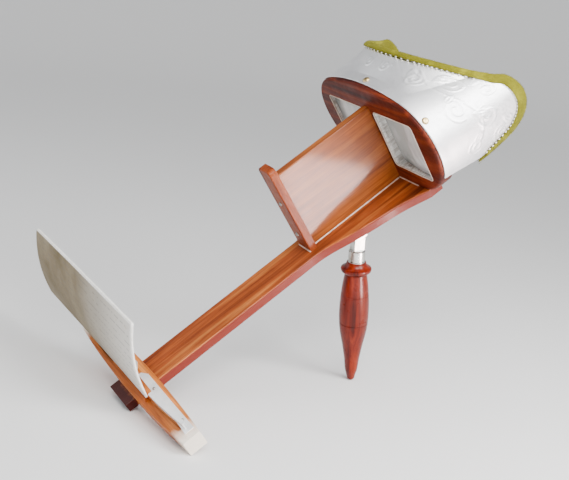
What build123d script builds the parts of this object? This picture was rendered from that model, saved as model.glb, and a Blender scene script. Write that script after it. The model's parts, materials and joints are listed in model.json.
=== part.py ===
"""Hand-held stereo viewer: hooded lens board on a flared wooden bar, folding handle and sliding card carrier.

Every piece is drawn in the viewer's own axes: X to the right, Y along the bar towards the eyes, Z up from
the bar's top face, with the origin on that face at the front of the lens board. At the end all the pieces
are turned together into the way the viewer stands by itself on a table: on the tip of its handle, one
corner of the bar and one end of the card carrier. The origin is then below the middle of its box.
"""
import os
from math import asin, atan2, cos, degrees, pi, radians, sin

from build123d import *

# ---- driving dimensions, mm ----
# Bar and base, one board that flares below the lenses
bar_width = 27.0
bar_thickness = 6.0
bar_end = -231.0
base_half_width = 34.5
flare_start = -84.0

# Lens board, an oval standing across the base
board_half_width = 63.0
board_centre_height = 37.0
board_rise = 37.2
board_corner = 33.0
board_drop = 38.3
board_thickness = 10.0

# Windows and lenses
window_inner = 6.0
window_outer = 46.6
window_bottom = 11.7
window_top = 54.4
rebate_margin = 1.8
rebate_depth = 7.5
lens_clearance = 0.15
lens_thickness = 6.0
lens_radius = 330.0
lens_axis_offset = 54.0
retainer_thickness = 1.0
retainer_width = 2.6

# Septum between the two lines of sight, with an upright slat on its front end
septum_thickness = 6.0
septum_length = 75.0
septum_height = 57.5
slat_width = 15.0
slat_thickness = 5.4
slat_height = 65.0

# Hood of thin aluminium sheet, nailed round the lens board, with a velvet binding
sheet = 0.7
hood_front = 2.6
hood_nail_line = 6.2
hood_depth = 80.0
eye_half_width = 66.7
eye_centre_height = 38.9
eye_rise = 58.4
eye_corner = 39.3
eye_drop = 48.2
binding_outside = 1.9
binding_inside = 1.7
binding_reach = 5.5
binding_start = 28.0

# Folding handle
pivot_y = -42.0
pivot_z = -14.4
handle_slant = 29.8
handle_length = 112.0
tip_radius = 2.8
ear_gap = 6.4
ear_thickness = 1.6
pin_radius = 1.6

# Card carrier, a bowed crosspiece that straddles the bar
carrier_y = -215.0
carrier_half_length = 82.5
carrier_end_near = -209.0
carrier_end_far = -220.6
carrier_top = 4.0
slide_gap = 0.3
clip_inner = 31.0
clip_outer = 74.0

# Card
card_length = 178.0
card_thickness = 1.3
card_right_end = 28.5
card_foot_y = -219.3

# Small fasteners: radii of their shanks
screw_radius = 1.3
brad_radius = 0.6
hole_gap = 0.05

# ---- planes and axes that several pieces share ----
slant = radians(handle_slant)
pivot = Vector(0, pivot_y, pivot_z)
handle_up = Vector(0, sin(slant), cos(slant))
handle_axis = Axis(pivot, handle_up)
handle_profile_plane = Plane(origin=pivot, x_dir=(1, 0, 0), z_dir=(0, -cos(slant), sin(slant)))
handle_plane = Plane(origin=pivot, x_dir=(1, 0, 0), z_dir=handle_up)
board_face = Plane(origin=(0, 0, 0), x_dir=(1, 0, 0), z_dir=(0, -1, 0))
window_x = (window_inner + window_outer) / 2
window_z = (window_bottom + window_top) / 2
window_width = window_outer - window_inner
window_height = window_top - window_bottom
board_back = board_thickness


def oval_section(y, half_width, centre, rise, corner, drop):
    """Squared-off oval as a face across the viewer at y: flatter on top, with rounder upper corners."""
    crown = ((half_width - corner) ** 2 + rise**2 - corner**2) / (2 * (rise - corner))
    corner_x = half_width - corner
    turn = atan2(corner_x, crown - rise)
    with BuildSketch(Plane(origin=(0, y, 0), x_dir=(1, 0, 0), z_dir=(0, -1, 0))) as section:
        with BuildLine():
            upper = Vector(corner_x + corner * sin(turn), centre + corner * cos(turn))
            half_turn = pi / 4 - turn / 2
            middle = Vector(corner_x + corner * cos(half_turn), centre + corner * sin(half_turn))
            low_x = half_width - drop
            low_middle = Vector(low_x + drop * cos(pi / 4), centre - drop * sin(pi / 4))
            crown_middle = Vector(crown * sin(turn / 2), centre + rise - crown + crown * cos(turn / 2))
            ThreePointArc((0, centre + rise), crown_middle, upper)
            ThreePointArc(upper, middle, (half_width, centre))
            ThreePointArc((half_width, centre), low_middle, (low_x, centre - drop))
            Line((low_x, centre - drop), (0, centre - drop))
            Line((0, centre - drop), (0, centre + rise))
        make_face()
        mirror(about=Plane.YZ)
    return section.sketch


def board_section(y, grow=0.0):
    """Outline of the lens board at y, moved outwards by grow."""
    reach = (board_rise + grow, board_corner + grow, board_drop + grow)
    return oval_section(y, board_half_width + grow, board_centre_height, *reach)


def hood_blank(grow):
    """Solid inside the hood's surface moved outwards by grow, from the board to past the eye edge."""
    eye_reach = (eye_rise + grow, eye_corner + grow, eye_drop + grow)
    at_eyes = oval_section(hood_depth, eye_half_width + grow, eye_centre_height, *eye_reach)
    with BuildPart() as blank:
        loft([board_section(hood_front, grow), board_section(board_back, grow)], ruled=True)
        loft([board_section(board_back, grow), at_eyes], ruled=True)
    return blank.part


def hood_side_view(grow):
    """Side view of the hood, its edges moved by grow: short at the brow, long at the temples."""
    with BuildSketch(Plane.YZ) as side:
        with BuildLine():
            edge = FilletPolyline((-5, 116.1), (89.8, 28), (37.3, 7.7), (-5, 18.5), radius=(23.8, 8))
            Line(edge @ 1, edge @ 0)
        make_face()
        offset(amount=grow)
    return side.sketch


def turned_about_z(profile):
    """Solid of revolution about Z from a closed (radius, z) outline."""
    with BuildPart() as turned:
        with BuildSketch(Plane.XZ):
            with BuildLine():
                Polyline(*profile, close=True)
            make_face()
        revolve(axis=Axis.Z)
    return turned.part


def wood_screw(radius, length, gap=0.0):
    """Countersunk screw with its head at the origin and its point up at +length; gap makes its hole."""
    head = radius * 2 + gap
    shank = radius + gap
    tip = length - 2 + gap
    profile = [(0, 0), (head, 0), (head, 0.4), (shank, 2.2), (shank, tip), (0, length + gap)]
    return turned_about_z(profile)


def brad(radius, head_radius, length, gap=0.0):
    """Round-headed nail with its domed head above the origin and its point down at -length."""
    shank = radius + gap
    dome = [(head_radius, 0), (head_radius * 0.92, 0.5), (head_radius * 0.6, 0.95), (0, 1.15)]
    profile = [(0, -length - gap), (shank, -length + 1), (shank, 0)] + dome
    return turned_about_z(profile)


def fastener_group(solid, planes):
    """The same fastener at each plane, as separate solids."""
    with BuildPart() as group:
        for plane in planes:
            add(plane.location * solid)
    return group


# ---- where the fasteners sit: planes with local Z along each one ----
def upward(x, y, z):
    return Plane(origin=(x, y, z), x_dir=(1, 0, 0), z_dir=(0, 0, 1))


board_screw_planes = [upward(x, board_back / 2, -bar_thickness) for x in (-22, 22)]
septum_screw_planes = [upward(0, y, -bar_thickness) for y in (-66, -14)]
plate_bottom = -bar_thickness - ear_thickness
bracket_screw_planes = [upward(x, y, plate_bottom) for x in (-7.6, 7.6) for y in (-54, -30)]
slat_front = -septum_length - slat_thickness
slat_nail_planes = [Plane(origin=(0, slat_front, z), x_dir=(1, 0, 0), z_dir=(0, -1, 0)) for z in (12, 38)]
keeper_screw_planes = [upward(x, carrier_y, -bar_thickness - 0.9) for x in (-20, 20)]
clip_brad_planes = [
    upward(side * x, y, carrier_top + 0.62) for side in (-1, 1) for x, y in ((25, -212.2), (66, -212))
]


def hood_nail_plane(centre_x, centre_z, radius, angle):
    """Plane on the hood over an arc of the board's outline, with local Z straight out of the sheet."""
    normal = Vector(cos(radians(angle)), 0, sin(radians(angle)))
    outside = Vector(centre_x, hood_nail_line, centre_z) + normal * (radius + sheet)
    return Plane(origin=outside, x_dir=(0, 1, 0), z_dir=normal)


corner_x = board_half_width - board_corner
board_top = board_centre_height + board_rise
hood_nail_planes = [
    hood_nail_plane(4, board_top - board_corner, board_corner, 90),
    hood_nail_plane(corner_x, board_centre_height, board_corner, 38),
    hood_nail_plane(-corner_x, board_centre_height, board_corner, 142),
]

# ---- bar with its flared base ----
with BuildPart() as bar:
    with BuildSketch(Plane.XY.offset(-bar_thickness)):
        with BuildLine():
            Line((0, bar_end), (bar_width / 2, bar_end))
            Line((bar_width / 2, bar_end), (bar_width / 2, flare_start))
            Spline(
                (bar_width / 2, flare_start), (19.5, -56), (24.5, -34), (28.5, -16), (base_half_width, 0),
                tangents=[(0, 1), (0.35, 1)],
            )
            Line((base_half_width, 0), (base_half_width, board_back))
            Line((base_half_width, board_back), (0, board_back))
            Line((0, board_back), (0, bar_end))
        make_face()
        mirror(about=Plane.YZ)
    extrude(amount=bar_thickness)
    fillet(bar.faces().sort_by(Axis.Z)[-1].edges().filter_by(Axis.Y).sort_by(Axis.Y)[:2], radius=1.2)
    for hole_plane in board_screw_planes + septum_screw_planes:
        add(hole_plane.location * wood_screw(screw_radius, 16, hole_gap), mode=Mode.SUBTRACT)
    for hole_plane in bracket_screw_planes:
        add(hole_plane.location * wood_screw(1.1, 5.6, hole_gap), mode=Mode.SUBTRACT)
    with Locations((0, bar_end + 4, -bar_thickness)):
        Cylinder(1.05, 3.5, align=(Align.CENTER, Align.CENTER, Align.MIN), mode=Mode.SUBTRACT)

# ---- stop pin that keeps the carrier on the bar ----
with BuildPart() as stop_pin:
    with Locations((0, bar_end + 4, -bar_thickness - 2.9)):
        Cylinder(1.0, 6.3, align=(Align.CENTER, Align.CENTER, Align.MIN))
    fillet(stop_pin.edges().sort_by(Axis.Z)[0], radius=0.5)

# ---- lens board ----
with BuildPart() as lens_board:
    extrude(to_extrude=board_section(0), amount=-board_thickness)
    fillet(lens_board.faces().sort_by(Axis.Y)[0].edges(), radius=1.8)
    split(bisect_by=Plane.XY, keep=Keep.TOP)
    with BuildSketch(board_face):
        with Locations((-window_x, window_z), (window_x, window_z)):
            RectangleRounded(window_width, window_height, 2.5)
    extrude(amount=-board_thickness, mode=Mode.SUBTRACT)
    with BuildSketch(board_face.offset(-board_back)):
        with Locations((-window_x, window_z), (window_x, window_z)):
            RectangleRounded(window_width + 2 * rebate_margin, window_height + 2 * rebate_margin, 2.5)
    extrude(amount=rebate_depth, mode=Mode.SUBTRACT)
    for hole_plane in board_screw_planes:
        add(hole_plane.location * wood_screw(screw_radius, 16, hole_gap), mode=Mode.SUBTRACT)
    for hole_plane in hood_nail_planes:
        add(hole_plane.location * brad(0.7, 2.3, 7, hole_gap), mode=Mode.SUBTRACT)

# ---- lenses: half lenses, thick at the outer side ----
lens_width = window_width + 2 * (rebate_margin - lens_clearance)
lens_height = window_height + 2 * (rebate_margin - lens_clearance)
lens_back = board_back - retainer_thickness - 0.1


def lens(side):
    """Plano-convex lens whose optical centre lies outside its window's middle."""
    with BuildPart() as glass:
        with BuildSketch(board_face.offset(-lens_back)):
            with Locations((side * window_x, window_z)):
                RectangleRounded(lens_width, lens_height, 2.3)
        extrude(amount=lens_thickness + 1)
        sphere_centre = (side * lens_axis_offset, lens_back - lens_thickness + lens_radius, window_z)
        with Locations(sphere_centre):
            Sphere(lens_radius, mode=Mode.INTERSECT)
    return glass


lens_left = lens(-1)
lens_right = lens(1)


def retainer(side):
    """Thin frame pressed into the rebate behind a lens."""
    with BuildPart() as frame:
        with BuildSketch(board_face.offset(-board_back)):
            with Locations((side * window_x, window_z)):
                RectangleRounded(lens_width, lens_height, 2.3)
                RectangleRounded(
                    lens_width - 2 * retainer_width, lens_height - 2 * retainer_width, 1.5, mode=Mode.SUBTRACT
                )
        extrude(amount=retainer_thickness)
    return frame


retainer_left = retainer(-1)
retainer_right = retainer(1)

# ---- septum and its slat ----
with BuildPart() as septum:
    with BuildSketch(Plane.YZ.offset(-septum_thickness / 2)):
        with Locations((-septum_length / 2, septum_height / 2)):
            Rectangle(septum_length, septum_height)
    extrude(amount=septum_thickness)
    fillet(septum.edges().filter_by(Axis.Y).sort_by(Axis.Z)[-2:], radius=0.8)
    for hole_plane in septum_screw_planes:
        add(hole_plane.location * wood_screw(screw_radius, 16, hole_gap), mode=Mode.SUBTRACT)
    for hole_plane in slat_nail_planes:
        add(hole_plane.location * brad(brad_radius, 1.5, 15, hole_gap), mode=Mode.SUBTRACT)

with BuildPart() as septum_slat:
    with BuildSketch(Plane(origin=(0, -septum_length, 0), x_dir=(1, 0, 0), z_dir=(0, -1, 0))):
        with Locations((0, slat_height / 2)):
            Rectangle(slat_width, slat_height)
    extrude(amount=slat_thickness)
    fillet(septum_slat.edges().filter_by(Axis.Y).sort_by(Axis.Z)[-2:], radius=3.2)
    fillet(septum_slat.faces().sort_by(Axis.Y)[0].edges().filter_by(Axis.Z), radius=0.8)
    for hole_plane in slat_nail_planes:
        add(hole_plane.location * brad(brad_radius, 1.5, 15, hole_gap), mode=Mode.SUBTRACT)

# ---- hood sheet and velvet binding ----
with BuildPart() as hood:
    add(hood_blank(sheet))
    add(hood_blank(0.05), mode=Mode.SUBTRACT)
    extrude(to_extrude=hood_side_view(0), amount=100, both=True, mode=Mode.INTERSECT)
    for hole_plane in hood_nail_planes:
        add(hole_plane.location * brad(0.7, 2.3, 7, hole_gap), mode=Mode.SUBTRACT)

with BuildPart() as hood_binding:
    add(hood_blank(sheet + binding_outside))
    add(hood_blank(0.05 - binding_inside), mode=Mode.SUBTRACT)
    extrude(to_extrude=hood_side_view(binding_outside), amount=100, both=True, mode=Mode.INTERSECT)
    extrude(to_extrude=hood_side_view(-binding_reach), amount=100, both=True, mode=Mode.SUBTRACT)
    with Locations((0, binding_start, 20)):
        Box(200, 80, 60, align=(Align.CENTER, Align.MAX, Align.CENTER), mode=Mode.SUBTRACT)
    add(hood.part, mode=Mode.SUBTRACT)

# ---- handle bracket: plate screwed under the base, with two ears ----
with BuildPart() as handle_bracket:
    with BuildSketch(Plane.XY.offset(plate_bottom)):
        with Locations((0, pivot_y)):
            RectangleRounded(22, 34, 4)
    extrude(amount=ear_thickness)
    for ear_side in (-1, 1):
        near = ear_gap / 2 if ear_side > 0 else -ear_gap / 2 - ear_thickness
        with BuildSketch(Plane.YZ.offset(near)):
            with Locations((pivot_y, pivot_z)):
                Circle(5.2)
            with BuildLine():
                Polyline(
                    (pivot_y - 9, plate_bottom), (pivot_y + 9, plate_bottom),
                    (pivot_y + 5.1, pivot_z), (pivot_y - 5.1, pivot_z), close=True,
                )
            make_face()
        extrude(amount=ear_thickness)
    with BuildSketch(Plane.YZ):
        with Locations((pivot_y, pivot_z)):
            Circle(pin_radius + hole_gap)
    extrude(amount=20, both=True, mode=Mode.SUBTRACT)
    for hole_plane in bracket_screw_planes:
        add(hole_plane.location * wood_screw(1.1, 5.6, hole_gap), mode=Mode.SUBTRACT)

with BuildPart() as hinge_pin:
    with BuildSketch(Plane.YZ):
        with Locations((pivot_y, pivot_z)):
            Circle(pin_radius)
    extrude(amount=ear_gap / 2 + ear_thickness + 1.1, both=True)
    for head_side in (-1, 1):
        near = ear_gap / 2 + ear_thickness + 0.1 if head_side > 0 else -ear_gap / 2 - ear_thickness - 1.1
        with BuildSketch(Plane.YZ.offset(near)):
            with Locations((pivot_y, pivot_z)):
                Circle(2.6)
        extrude(amount=1.0)
    fillet(hinge_pin.edges().group_by(Axis.X)[0] + hinge_pin.edges().group_by(Axis.X)[-1], radius=0.6)

# ---- handle: tongue with its tang, ferrule and turned grip ----
tongue_half = ear_gap / 2 - 0.1
ferrule_top = -14.3
ferrule_bottom = -22.8
ferrule_radius = 5.6
ferrule_wall = 0.8
tang_radius = 1.9
tang_end = -46.0

with BuildPart() as handle_tongue:
    with BuildSketch(Plane.YZ.offset(-tongue_half)):
        with Locations((pivot_y, pivot_z)):
            Circle(4.9)
    extrude(amount=2 * tongue_half)
    with BuildSketch(handle_plane.offset(ferrule_top)):
        Rectangle(2 * tongue_half, 7.6)
    extrude(amount=-ferrule_top)
    with BuildSketch(handle_plane.offset(ferrule_top)):
        Circle(tang_radius)
    extrude(amount=tang_end - ferrule_top)
    with BuildSketch(Plane.YZ):
        with Locations((pivot_y, pivot_z)):
            Circle(pin_radius + hole_gap)
    extrude(amount=20, both=True, mode=Mode.SUBTRACT)

with BuildPart() as handle_ferrule:
    with BuildSketch(handle_profile_plane):
        with BuildLine():
            Polyline(
                (tang_radius + 0.05, ferrule_top - 0.05), (ferrule_radius - 0.8, ferrule_top - 0.05),
                (ferrule_radius, ferrule_top - 0.9), (ferrule_radius, ferrule_bottom + 0.9),
                (ferrule_radius + 0.4, ferrule_bottom + 0.5), (ferrule_radius + 0.4, ferrule_bottom),
                (ferrule_radius - ferrule_wall, ferrule_bottom),
                (ferrule_radius - ferrule_wall, ferrule_top - 1.2), (tang_radius + 0.05, ferrule_top - 1.2),
                close=True,
            )
        make_face()
    revolve(axis=handle_axis)

spigot_radius = ferrule_radius - ferrule_wall - 0.05
with BuildPart() as handle_grip:
    with BuildSketch(handle_profile_plane):
        with BuildLine():
            grip_line = [
                Line((0, tang_end - 0.5), (tang_radius + 0.05, tang_end - 0.5)),
                Line((tang_radius + 0.05, tang_end - 0.5), (tang_radius + 0.05, ferrule_top - 1.25)),
                Line((tang_radius + 0.05, ferrule_top - 1.25), (spigot_radius, ferrule_top - 1.25)),
                Line((spigot_radius, ferrule_top - 1.25), (spigot_radius, ferrule_bottom - 0.05)),
                Line((spigot_radius, ferrule_bottom - 0.05), (6.4, ferrule_bottom - 0.05)),
                ThreePointArc((6.4, ferrule_bottom - 0.05), (7.6, -25.4), (10.2, -27.2)),
                ThreePointArc((10.2, -27.2), (10.4, -28.6), (8.4, -30.6)),
                Line((8.4, -30.6), (7.6, -31.6)),
                Spline(
                    (7.6, -31.6), (8.4, -36.9), (9.4, -45), (10, -53), (10.15, -60), (9.9, -67.5), (9, -74.8),
                    (7.5, -82.4), (6.1, -90), (5, -97.6), (4, -105), (tip_radius, -handle_length + tip_radius),
                    tangents=[(0.1, -1), (-0.2, -1)],
                ),
                ThreePointArc(
                    (tip_radius, -handle_length + tip_radius),
                    (tip_radius * sin(pi / 4), -handle_length + tip_radius * (1 - cos(pi / 4))),
                    (0, -handle_length),
                ),
                Line((0, -handle_length), (0, tang_end - 0.5)),
            ]
        make_face()
    revolve(axis=handle_axis)
    for score, score_radius in ((-46.8, 9.25), (-67.8, 9.55)):
        with BuildSketch(handle_plane.offset(score)):
            Circle(14)
            Circle(score_radius, mode=Mode.SUBTRACT)
        extrude(amount=0.6, mode=Mode.SUBTRACT)

# ---- carrier crosspiece: bowed board, notched over the bar ----
with BuildPart() as carrier_crosspiece:
    with BuildSketch(Plane.XY.offset(-bar_thickness)):
        with BuildLine():
            near_left = (-carrier_half_length, carrier_end_near)
            near_right = (carrier_half_length, carrier_end_near)
            far_left = (-carrier_half_length, carrier_end_far)
            far_right = (carrier_half_length, carrier_end_far)
            ThreePointArc(near_left, (0, -206), near_right)
            Line(near_right, far_right)
            ThreePointArc(far_right, (0, -224.2), far_left)
            Line(far_left, near_left)
        make_face()
    extrude(amount=carrier_top + bar_thickness)
    fillet(carrier_crosspiece.faces().sort_by(Axis.Z)[-1].edges().sort_by(SortBy.LENGTH)[-2:], radius=0.8)
    with Locations((0, carrier_y, -bar_thickness)):
        Box(bar_width + 2 * slide_gap, 40, 2 * (bar_thickness + slide_gap), mode=Mode.SUBTRACT)
    for groove_side in (-1, 1):
        with BuildSketch(Plane.XY.offset(carrier_top)):
            with BuildLine(mode=Mode.PRIVATE):
                groove_line = ThreePointArc(
                    (groove_side * 28, -219.4), (groove_side * 50, -218.5), (groove_side * 70, -216.8)
                )
            SlotArc(groove_line, 2.8)
        extrude(amount=-2.2, mode=Mode.SUBTRACT)
    for hole_plane in keeper_screw_planes:
        add(hole_plane.location * wood_screw(1.1, 7, hole_gap), mode=Mode.SUBTRACT)
    for hole_plane in clip_brad_planes:
        add(hole_plane.location * brad(0.5, 1.0, 5, hole_gap), mode=Mode.SUBTRACT)

# ---- keeper strap below the bar, with the leaf spring that holds the carrier where it is put ----
strap_width = 12.0
strap = 0.8
foot_top = -bar_thickness - 0.1
with BuildPart() as carrier_keeper:
    with BuildSketch(Plane.XZ.offset(-carrier_y - strap_width / 2)):
        with BuildLine():
            Polyline(
                (25, foot_top), (14.6, foot_top), (14.6, -8.4), (-14.6, -8.4), (-14.6, foot_top),
                (-25, foot_top), (-25, foot_top - strap), (-15.4, foot_top - strap), (-15.4, -8.4 - strap),
                (15.4, -8.4 - strap), (15.4, foot_top - strap), (25, foot_top - strap), close=True,
            )
        make_face()
    extrude(amount=strap_width)
    for hole_plane in keeper_screw_planes:
        add(hole_plane.location * wood_screw(1.1, 7, hole_gap), mode=Mode.SUBTRACT)

with BuildPart() as carrier_spring:
    with BuildSketch(Plane.XZ.offset(-carrier_y - 4)):
        with BuildLine():
            lower = ThreePointArc((-14, -8.35), (0, -6.75), (14, -8.35))
            upper = ThreePointArc((-14, -7.95), (0, -6.35), (14, -7.95))
            Line(lower @ 0, upper @ 0)
            Line(lower @ 1, upper @ 1)
        make_face()
    extrude(amount=8)

# ---- spring clips on the crosspiece: a flat strip and a bowed upright leaf, joined at the outer end ----
leaf_bottom = carrier_top + 0.02
leaf_top = 8.6
leaf = 0.7


def card_clip(side):
    """Clip of thin spring sheet on one half of the crosspiece."""
    with BuildPart() as clip:
        with BuildSketch(Plane.XY.offset(leaf_bottom)):
            with BuildLine():
                Polyline(
                    (side * 3, -211.6), (side * 9, -208.8), (side * 40, -209.4),
                    (side * (clip_outer + 3), -210), (side * (clip_outer + 3), -216.2),
                    (side * (clip_outer - 6), -215.4), (side * 3, -213.6), close=True,
                )
            make_face()
        extrude(amount=0.6)
        with BuildSketch(Plane.XY.offset(leaf_bottom)):
            with BuildLine():
                inner = ThreePointArc(
                    (side * clip_inner, -217.2), (side * 55, -216), (side * clip_outer, -214.2)
                )
                outer = ThreePointArc(
                    (side * clip_inner, -217.2 + leaf), (side * 55, -216 + leaf),
                    (side * clip_outer, -214.2 + leaf),
                )
                Line(inner @ 0, outer @ 0)
                Line(inner @ 1, outer @ 1)
            make_face()
        extrude(amount=leaf_top - leaf_bottom)
        with BuildSketch(Plane.XY.offset(leaf_top - 0.6)):
            with BuildLine():
                inner = ThreePointArc(
                    (side * clip_inner, -217.2), (side * 55, -216), (side * clip_outer, -214.2)
                )
                outer = ThreePointArc(
                    (side * clip_inner, -214.2), (side * 55, -213), (side * clip_outer, -212.2)
                )
                Line(inner @ 0, outer @ 0)
                Line(inner @ 1, outer @ 1)
            make_face()
        extrude(amount=0.6)
        for hole_plane in clip_brad_planes:
            add(hole_plane.location * brad(0.5, 1.0, 5, hole_gap), mode=Mode.SUBTRACT)
    return clip


clip_left = card_clip(-1)
clip_right = card_clip(1)

# ---- stereo card: stiff board, warped with age, standing in the carrier ----
card_foot_z = carrier_top + 0.35
with BuildPart() as stereo_card:
    with BuildLine() as card_path:
        ThreePointArc(
            (card_right_end, card_foot_y, card_foot_z),
            (card_right_end - card_length * 0.5, card_foot_y - 0.3, card_foot_z),
            (card_right_end - card_length, card_foot_y - 1.2, card_foot_z),
        )
    with BuildSketch(Plane(origin=card_path.line @ 0, x_dir=(0, 1, 0), z_dir=card_path.line % 0)):
        with BuildLine():
            back = ThreePointArc((0, 0), (4.6, -22), (18.0, -48))
            front = ThreePointArc((card_thickness, 0), (5.8, -21.6), (19.1, -47.4))
            Line(back @ 0, front @ 0)
            Line(back @ 1, front @ 1)
        make_face()
    sweep(path=card_path.line)

# ---- fastener groups ----
hood_nails = fastener_group(brad(0.7, 2.3, 7), hood_nail_planes)
board_screws = fastener_group(wood_screw(screw_radius, 16), board_screw_planes)
septum_screws = fastener_group(wood_screw(screw_radius, 16), septum_screw_planes)
slat_nails = fastener_group(brad(brad_radius, 1.5, 15), slat_nail_planes)
bracket_screws = fastener_group(wood_screw(1.1, 5.6), bracket_screw_planes)
keeper_screws = fastener_group(wood_screw(1.1, 7), keeper_screw_planes)
clip_brads = fastener_group(brad(0.5, 1.0, 5), clip_brad_planes)

# ---- how the viewer stands: the floor touches the handle's tip, a corner of the bar and a carrier end ----
tip_centre = pivot - handle_up * (handle_length - tip_radius)
bar_corner = Vector(bar_width / 2, bar_end, -bar_thickness)
carrier_corner = Vector(carrier_half_length, carrier_end_far, -bar_thickness)
tip_contact = tip_centre
for _ in range(4):
    up = (bar_corner - tip_contact).cross(carrier_corner - tip_contact).normalized()
    tip_contact = tip_centre - up * tip_radius
tilt = degrees(atan2(up.Y, up.Z))
lean = degrees(asin(-up.X))
turned = Location((0, 0, 0), (0, 1, 0), lean) * Location((0, 0, 0), (1, 0, 0), tilt)

pieces = {
    "bar": bar,
    "stop_pin": stop_pin,
    "lens_board": lens_board,
    "board_screws": board_screws,
    "lens_left": lens_left,
    "lens_right": lens_right,
    "lens_retainer_left": retainer_left,
    "lens_retainer_right": retainer_right,
    "septum": septum,
    "septum_slat": septum_slat,
    "septum_screws": septum_screws,
    "slat_nails": slat_nails,
    "hood": hood,
    "hood_binding": hood_binding,
    "hood_nails": hood_nails,
    "handle_bracket": handle_bracket,
    "bracket_screws": bracket_screws,
    "hinge_pin": hinge_pin,
    "handle_tongue": handle_tongue,
    "handle_ferrule": handle_ferrule,
    "handle_grip": handle_grip,
    "carrier_crosspiece": carrier_crosspiece,
    "carrier_keeper": carrier_keeper,
    "carrier_spring": carrier_spring,
    "keeper_screws": keeper_screws,
    "clip_left": clip_left,
    "clip_right": clip_right,
    "clip_brads": clip_brads,
    "stereo_card": stereo_card,
}

box = Compound(children=[piece.part.moved(turned) for piece in pieces.values()]).bounding_box()
standing = Location((-box.center().X, -box.center().Y, -box.min.Z)) * turned

os.makedirs("parts", exist_ok=True)
for name, piece in pieces.items():
    piece.part.label = name
    export_step(piece.part.moved(standing), f"parts/{name}.step")

print(f"tilt {tilt:.2f} lean {lean:.2f} box {box.size}")
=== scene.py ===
"""Look of the hand-held stereo viewer: materials for its CAD pieces, and meshes for hood, velvet and card.

Pieces are drawn in the viewer's own axes, in millimetres: X to the right, Y along the bar towards the eyes,
Z up from the bar's top, with the origin at the front of the lens board. viewer_matrix takes them to the
frame of the CAD model, in metres, in which the viewer stands on its table.
"""

import json
import math
import random

import bpy
from mathutils import Matrix, Vector, noise
from mathutils.kdtree import KDTree


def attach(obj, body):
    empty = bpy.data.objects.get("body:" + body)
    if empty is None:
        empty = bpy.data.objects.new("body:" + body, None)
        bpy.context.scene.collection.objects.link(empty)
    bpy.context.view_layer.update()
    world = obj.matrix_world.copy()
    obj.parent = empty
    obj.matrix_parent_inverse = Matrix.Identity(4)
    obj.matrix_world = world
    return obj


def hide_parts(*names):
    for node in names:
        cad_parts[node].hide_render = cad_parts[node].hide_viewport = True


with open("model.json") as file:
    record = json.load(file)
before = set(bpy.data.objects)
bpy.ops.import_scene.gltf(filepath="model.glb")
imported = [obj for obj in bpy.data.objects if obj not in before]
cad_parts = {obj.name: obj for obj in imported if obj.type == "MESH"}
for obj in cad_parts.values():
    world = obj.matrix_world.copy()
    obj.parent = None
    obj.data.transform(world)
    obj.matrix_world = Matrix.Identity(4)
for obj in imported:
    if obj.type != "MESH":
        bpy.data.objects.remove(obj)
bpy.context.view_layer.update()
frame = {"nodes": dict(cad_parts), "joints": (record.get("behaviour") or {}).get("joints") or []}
nodes = frame["nodes"]

# ---- sizes shared with the CAD model, mm ----
PIVOT = Vector((0, -42, -14.4))
BOARD = dict(half_width=63.0, centre=37.0, rise=37.2, corner=33.0, drop=38.3)
EYES = dict(half_width=66.7, centre=38.9, rise=58.4, corner=39.3, drop=48.2)
BOARD_BACK = 10.0
EYE_PLANE = 80.0
HOOD_FRONT = 2.6
SHEET_INSIDE = 0.05
SHEET_OUTSIDE = 0.7
TEMPLE = (89.8, 28.0)
LOWER_CORNER = (37.3, 7.7)
BROW_SLOPE = -0.9293
CHEEK_SLOPE = 0.3867
JAW_SLOPE = -0.2553
TEMPLE_RADIUS = 23.8
WINDOW_X = (6.0, 46.6)
WINDOW_Z = (11.7, 54.4)
CARD_LENGTH = 178.0
CARD_RIGHT = 28.5
CARD_THICKNESS = 1.3
CARD_FOOT = (-219.3, 4.35)
CARD_LEAN = 18.0
HANDLE_SLANT = 29.8

# ---- drawn detail: sizes in mm, one share and one count ----
RELIEF_HALF_WIDTH = 0.75
RELIEF_HEIGHT = 0.34
SIDE_RELIEF_HEIGHT = 0.24
RELIEF_FRONT = 11
RELIEF_TO_VELVET = 7
RELIEF_END = 122
BROW_FROM = 42
BROW_FULL = 62
BROW_NARROWING = 0.42
BROW_SET_BACK = 3.8
JAW_BINDING_START = 34
BINDING_REACH = 6.2
FIBRES_PER_STEP = 16
STITCH_INSET = 6.6
STITCH_LIFT = 0.62
STITCH_LENGTH = 1.3
STITCH_RADIUS = 0.42


def new_object(name, data):
    """New object in the scene."""
    thing = bpy.data.objects.new(name, data)
    bpy.context.scene.collection.objects.link(thing)
    return thing


# ---- viewer axes ----
def viewer_axes():
    """Matrix from the viewer's axes in millimetres to the CAD frame in metres, read from the joints."""
    joints = {joint["name"]: joint for joint in frame["joints"]}
    x_axis = -Vector(joints["handle_fold"]["axis"])
    y_axis = Vector(joints["carrier_slide"]["axis"])
    z_axis = x_axis.cross(y_axis)
    turn = Matrix((x_axis, y_axis, z_axis)).transposed()
    pivot = Vector(joints["handle_fold"]["pos_m"])
    origin = pivot - turn @ (PIVOT * 0.001)
    return Matrix.Translation(origin) @ turn.to_4x4() @ Matrix.Scale(0.001, 4)


viewer_matrix = viewer_axes()
to_viewer = viewer_matrix.inverted()


# ---- materials ----
def add(tree, kind, inputs=None, **settings):
    """New shader node with its settings; an input is a value or the socket that feeds it."""
    node = tree.nodes.new("ShaderNode" + kind)
    for key, value in settings.items():
        setattr(node, key, value)
    for key, value in (inputs or {}).items():
        if isinstance(value, bpy.types.NodeSocket):
            tree.links.new(value, node.inputs[key])
        else:
            node.inputs[key].default_value = value
    return node


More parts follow.
